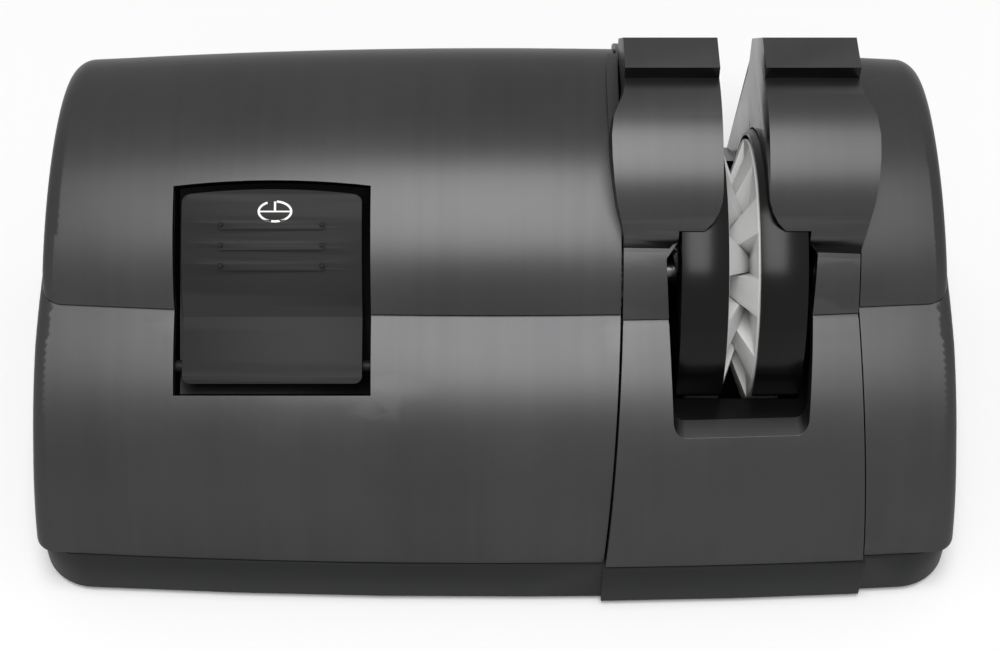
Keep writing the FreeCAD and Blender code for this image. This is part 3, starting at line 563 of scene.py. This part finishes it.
def dressed(node, surfaces, form, towers):
    mesh = frame["nodes"][node].data.copy()
    obj = placed(node + "_skin", mesh)
    work = bmesh.new()
    work.from_mesh(mesh)
    bmesh.ops.remove_doubles(work, verts=work.verts, dist=MERGE_DISTANCE)
    bmesh.ops.dissolve_limit(work, angle_limit=FLAT_ANGLE, verts=work.verts, edges=work.edges)
    if form:
        form(work)
    work.to_mesh(mesh)
    work.free()
    if towers:
        combined(obj, panel_space(), "INTERSECT")
    obj.data.shade_smooth()
    finish_slot(obj, FINISH[slot_of[node]])
    bevel = obj.modifiers.new("broken_edges", "BEVEL")
    bevel.width = EDGE_RADIUS
    bevel.segments = 2
    bevel.limit_method = "ANGLE"
    bevel.angle_limit = SMOOTH_ANGLE
    bevel.harden_normals = False
    bevel.use_clamp_overlap = True
    applied(obj)
    if towers:
        join_towers_and_paint_shade(obj, towers)
        # this black gloss slot carries the painted shade on the riser and the slot walls
        obj.data.materials.append(gloss)
    obj.data.set_sharp_from_angle(angle=SMOOTH_ANGLE)
    if surfaces:
        shade_true(obj.data, surfaces)
    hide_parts(node)
    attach(obj, body_of[node])
    return obj


SKINS = ("base_tray", "body_shell", "hood_left", "hood_right", "front_panel", "head_cover", "recess_tray",
         "guard_left", "guard_right", "switch_button", "button_well", "grinding_wheel_left",
         "grinding_wheel_right", "inlet_socket")
hood_panel = offset_of(hood_surface, PANEL_PROUD)
apron_panel = offset_of(apron_surface, PANEL_PROUD)
TRUE_SURFACES = {
    "body_shell": (apron_surface, hood_surface),
    "hood_left": (hood_surface,),
    "hood_right": (hood_surface,),
    "front_panel": (apron_panel,),
    "head_cover": (hood_panel, tower_surface),
}
FORMS = {
    "head_cover": flare_slot,
    "body_shell": housing_form,
    "hood_left": housing_form,
    "hood_right": housing_form,
    "switch_button": button_form,
}
skins = {}
for node in SKINS:
    towers = [tower_form(-1), tower_form(1)] if node == "head_cover" else ()
    skins[node] = dressed(node, TRUE_SURFACES.get(node), FORMS.get(node), towers)

for node, obj in frame["nodes"].items():
    if node not in SKINS:
        # the button pin gets the painted-shade black so its ends read as the dark gap
        finish_slot(obj, shade_black if node == "button_pin" else FINISH[slot_of[node]])


# Standby sign printed on the button

def press_point(x, along, out):
    y = along * math.sin(PRESS_ANGLE) - out * math.cos(PRESS_ANGLE)
    z = along * math.cos(PRESS_ANGLE) + out * math.sin(PRESS_ANGLE)
    return Vector((x, y, z))


def on_button(x, along, rise):
    """Lie a point on the button's outer face, raised by rise."""
    start = press_point(x, along, 0.12)
    inward = press_point(0, 0, -1.0).normalized()
    hit = button_skin_tree.ray_cast(start, inward)[0]
    return hit - inward * rise


def ribbon(points, width, rise=SIGN_RISE):
    """Flat printed line through points given as (x, along) on the button."""
    work = bmesh.new()
    sides = []
    for index, point in enumerate(points):
        before = Vector(points[max(0, index - 1)])
        after = Vector(points[min(len(points) - 1, index + 1)])
        run = (after - before).normalized()
        across = Vector((-run.y, run.x)) * width / 2
        pair = []
        for spot in (Vector(point) + across, Vector(point) - across):
            pair.append(work.verts.new(on_button(spot.x, spot.y, rise)))
        sides.append(pair)
    for first, second in zip(sides[:-1], sides[1:]):
        work.faces.new((first[0], first[1], second[1], second[0]))
    return work


def standby_sign():
    centre_x = BUTTON_X + SIGN_OFFSET_X
    ring = []
    for step in range(SIGN_RING_STEPS + 1):
        angle = math.radians(SIGN_RING_START + SIGN_RING_TURN * step / SIGN_RING_STEPS)
        x = centre_x + SIGN_HALF_WIDTH * math.cos(angle)
        ring.append((x, SIGN_ALONG + SIGN_HALF_HEIGHT * math.sin(angle)))
    bar = [(centre_x, SIGN_ALONG + SIGN_HALF_HEIGHT * share) for share in (1.0, 0.75, 0.5, 0.25, 0.0)]
    cross = [(centre_x + SIGN_HALF_WIDTH * share, SIGN_ALONG) for share in (-0.95, -0.5, 0.0, 0.5, 0.95)]
    whole = bmesh.new()
    lines = (ribbon(ring, SIGN_STROKE), ribbon(bar, SIGN_STROKE),
             ribbon(cross, SIGN_STROKE * 0.7, SIGN_CROSS_RISE))
    for line in lines:
        mesh = bpy.data.meshes.new("line")
        line.to_mesh(mesh)
        line.free()
        whole.from_mesh(mesh)
        bpy.data.meshes.remove(mesh)
    out = press_point(0, 0, 1.0).normalized()
    for face in whole.faces:
        if face.normal.dot(out) < 0:
            face.normal_flip()
    obj = object_from("standby_sign", whole)
    finish_slot(obj, symbol_white)
    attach(obj, "button")


def tree_of(mesh):
    work = bmesh.new()
    work.from_mesh(mesh)
    found = BVHTree.FromBMesh(work)
    work.free()
    return found


button_skin_tree = tree_of(skins["switch_button"].data)
standby_sign()


# Repeated small parts, made by node trees

def node_piece(name, body, material, build, values):
    group = bpy.data.node_groups.new(name + "_maker", "GeometryNodeTree")
    group.interface.new_socket("Geometry", in_out="OUTPUT", socket_type="NodeSocketGeometry")
    sockets = {}
    for key, value in values.items():
        kind = "NodeSocketVector" if isinstance(value, (tuple, list)) else "NodeSocketFloat"
        sockets[key] = group.interface.new_socket(key, in_out="INPUT", socket_type=kind)
    start = group.nodes.new("NodeGroupInput")
    end = group.nodes.new("NodeGroupOutput")
    made = build(group, start)
    real = group.nodes.new("GeometryNodeRealizeInstances")
    coat = group.nodes.new("GeometryNodeSetMaterial")
    coat.inputs["Material"].default_value = material
    group.links.new(made, real.inputs["Geometry"])
    group.links.new(real.outputs["Geometry"], coat.inputs["Geometry"])
    group.links.new(coat.outputs["Geometry"], end.inputs["Geometry"])
    obj = placed(name, bpy.data.meshes.new(name))
    change = obj.modifiers.new("maker", "NODES")
    change.node_group = group
    for key, socket in sockets.items():
        change[socket.identifier] = values[key]
    applied(obj)
    finish_slot(obj, material)
    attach(obj, body)


def screw_drive_tree(group, start):
    """Four cross-slotted washers, one under each case screw."""
    grid = group.nodes.new("GeometryNodeMeshGrid")
    grid.inputs["Vertices X"].default_value = 2
    grid.inputs["Vertices Y"].default_value = 2
    group.links.new(start.outputs["Spacing X"], grid.inputs["Size X"])
    group.links.new(start.outputs["Spacing Y"], grid.inputs["Size Y"])
    disc = group.nodes.new("GeometryNodeMeshCylinder")
    disc.inputs["Vertices"].default_value = 40
    group.links.new(start.outputs["Head Radius"], disc.inputs["Radius"])
    group.links.new(start.outputs["Head Depth"], disc.inputs["Depth"])
    cut = group.nodes.new("GeometryNodeMeshBoolean")
    cut.operation = "DIFFERENCE"
    cut.solver = "EXACT"
    group.links.new(disc.outputs["Mesh"], cut.inputs["Mesh 1"])
    for turned in (False, True):
        size = group.nodes.new("ShaderNodeCombineXYZ")
        first, second = ("Y", "X") if turned else ("X", "Y")
        group.links.new(start.outputs["Slot Length"], size.inputs[first])
        group.links.new(start.outputs["Slot Width"], size.inputs[second])
        group.links.new(start.outputs["Head Depth"], size.inputs["Z"])
        blade = group.nodes.new("GeometryNodeMeshCube")
        group.links.new(size.outputs["Vector"], blade.inputs["Size"])
        drop = group.nodes.new("GeometryNodeTransform")
        drop.inputs["Translation"].default_value = (0, 0, -0.25 * MM)
        group.links.new(blade.outputs["Mesh"], drop.inputs["Geometry"])
        group.links.new(drop.outputs["Geometry"], cut.inputs["Mesh 2"])
    place = group.nodes.new("GeometryNodeTransform")
    group.links.new(grid.outputs["Mesh"], place.inputs["Geometry"])
    group.links.new(start.outputs["Place"], place.inputs["Translation"])
    spread = group.nodes.new("GeometryNodeInstanceOnPoints")
    group.links.new(place.outputs["Geometry"], spread.inputs["Points"])
    group.links.new(cut.outputs["Mesh"], spread.inputs["Instance"])
    return spread.outputs["Instances"]


node_piece("screw_drives", "housing", zinc, screw_drive_tree, {
    "Spacing X": 140.0 * MM,
    "Spacing Y": 68.0 * MM,
    "Head Radius": 2.75 * MM,
    "Head Depth": 0.5 * MM,
    "Slot Length": 3.2 * MM,
    "Slot Width": 0.7 * MM,
    "Place": (0.0, 0.0, 1.43 * MM),
})


def rib_end_shade_tree(group, start):
    """Painted shade: a small dark pip at both ends of each rib, laid on the press plane."""
    grid = group.nodes.new("GeometryNodeMeshGrid")
    grid.inputs["Vertices X"].default_value = 2
    grid.inputs["Vertices Y"].default_value = 3
    group.links.new(start.outputs["Rib Length"], grid.inputs["Size X"])
    group.links.new(start.outputs["Rib Span"], grid.inputs["Size Y"])
    pip = group.nodes.new("GeometryNodeMeshUVSphere")
    pip.inputs["Segments"].default_value = 16
    pip.inputs["Rings"].default_value = 8
    group.links.new(start.outputs["Pip Radius"], pip.inputs["Radius"])
    spread = group.nodes.new("GeometryNodeInstanceOnPoints")
    group.links.new(grid.outputs["Mesh"], spread.inputs["Points"])
    group.links.new(pip.outputs["Mesh"], spread.inputs["Instance"])
    place = group.nodes.new("GeometryNodeTransform")
    group.links.new(spread.outputs["Instances"], place.inputs["Geometry"])
    group.links.new(start.outputs["Tilt"], place.inputs["Rotation"])
    group.links.new(start.outputs["Place"], place.inputs["Translation"])
    return place.outputs["Geometry"]


# Dark pips that paint the shade at the rib ends
rib_middle = on_button(BUTTON_X, RIB_MIDDLE_ALONG, -PIP_SINK)
node_piece("rib_end_shade_pips", "button", shade_black, rib_end_shade_tree, {
    "Rib Length": 21.2 * MM,
    "Rib Span": 8.6 * MM,
    "Pip Radius": 0.55 * MM,
    "Tilt": (math.pi / 2 - PRESS_ANGLE, 0.0, 0.0),
    "Place": tuple(rib_middle),
})


# Stage, camera and lights

def studio_floor():
    mesh = bpy.data.meshes.new("studio_floor")
    reach = FLOOR_REACH
    corners = [(-reach, -reach, 0), (reach, -reach, 0), (reach, reach, 0), (-reach, reach, 0)]
    mesh.from_pydata(corners, [], [(0, 1, 2, 3)])
    obj = placed("studio_floor", mesh)
    material, tree, shader = new_material("studio_white")
    shader.inputs["Base Color"].default_value = (FLOOR_TONE, FLOOR_TONE, FLOOR_TONE, 1)
    shader.inputs["Roughness"].default_value = 0.9
    finish_slot(obj, material)


def studio_world():
    world = bpy.data.worlds.new("studio_world")
    bpy.context.scene.world = world
    world.use_nodes = True
    tree = world.node_tree
    tree.nodes.clear()
    rays = tree.nodes.new("ShaderNodeLightPath")
    seen = rays.outputs["Is Camera Ray"]
    for name in ("Is Glossy Ray", "Is Transmission Ray"):
        either = tree.nodes.new("ShaderNodeMath")
        either.operation = "MAXIMUM"
        tree.links.new(seen, either.inputs[0])
        tree.links.new(rays.outputs[name], either.inputs[1])
        seen = either.outputs["Value"]
    soft = add(tree, "ShaderNodeBackground", Strength=WORLD_SOFT)
    soft.inputs["Color"].default_value = (1, 1, 1, 1)
    plain = add(tree, "ShaderNodeBackground", Strength=1.0)
    plain.inputs["Color"].default_value = (1, 1, 1, 1)
    mix = tree.nodes.new("ShaderNodeMixShader")
    out = tree.nodes.new("ShaderNodeOutputWorld")
    tree.links.new(seen, mix.inputs["Fac"])
    tree.links.new(soft.outputs["Background"], mix.inputs[1])
    tree.links.new(plain.outputs["Background"], mix.inputs[2])
    tree.links.new(mix.outputs["Shader"], out.inputs["Surface"])


def softbox(name, place, aim, size, energy):
    light = bpy.data.lights.new(name, "AREA")
    light.shape = "RECTANGLE"
    light.size, light.size_y = size
    light.energy = energy
    obj = placed(name, light)
    obj.location = place
    obj.rotation_euler = (Vector(aim) - Vector(place)).to_track_quat("-Z", "Y").to_euler()


studio_floor()
studio_world()
softbox("overhead_box", LAMP_PLACE, LAMP_AIM, LAMP_SIZE, LAMP_POWER)

camera = placed("camera", bpy.data.cameras.new("camera"))
camera.data.lens = CAMERA_LENS
camera.location = CAMERA_PLACE
camera.rotation_euler = (CAMERA_TILT, 0, 0)
camera.data.clip_start = 0.01
bpy.context.scene.camera = camera
bpy.context.scene.view_settings.view_transform = "Standard"
